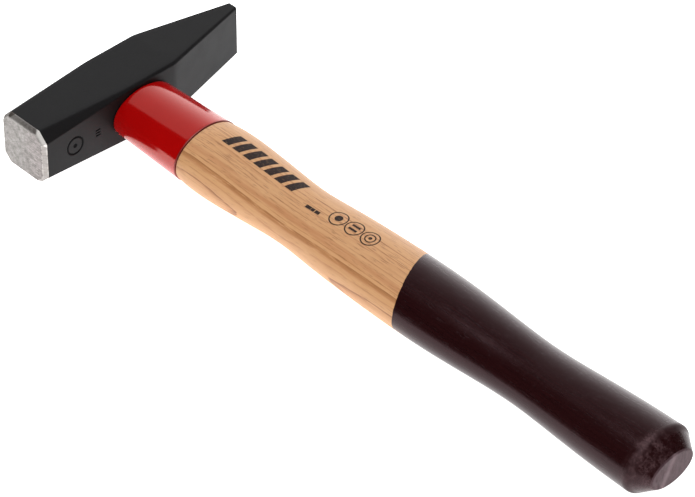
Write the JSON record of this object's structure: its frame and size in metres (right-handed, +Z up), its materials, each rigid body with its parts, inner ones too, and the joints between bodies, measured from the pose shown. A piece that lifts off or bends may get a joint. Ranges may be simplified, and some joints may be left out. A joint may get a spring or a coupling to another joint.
{
  "type": "cross peen hammer",
  "caption": "Cross peen hammer with a square face, a wedge-shaped peen, a red steel neck sleeve and an oval waisted wooden handle with a dark dipped grip.",
  "frame": {"origin": "on the resting cheek, straight below the crossing of the handle's axis and the head's axis, which is the centre of the eye", "axes": "+X along the handle from the head to the butt, +Y along the head towards the peen (the striking face looks along -Y), +Z up through the other cheek"},
  "size_m": [0.315, 0.1126, 0.0257],
  "materials": {
    "head_steel": "black satin coating, striking face ground bare",
    "ash_wood": "clear satin varnish, lower part dipped dark brown",
    "red_enamel": "gloss red enamel",
    "wedge_steel": "bare steel",
    "plate_steel": "zinc plated, satin",
    "screw_steel": "zinc plated, satin"
  },
  "bodies": {
    "root": {"hammer_head": "head_steel", "handle": "ash_wood", "handle_sleeve": "red_enamel", "ring_wedge": "wedge_steel", "securing_plate": "plate_steel", "securing_screw": "screw_steel"}
  },
  "joints": []
}
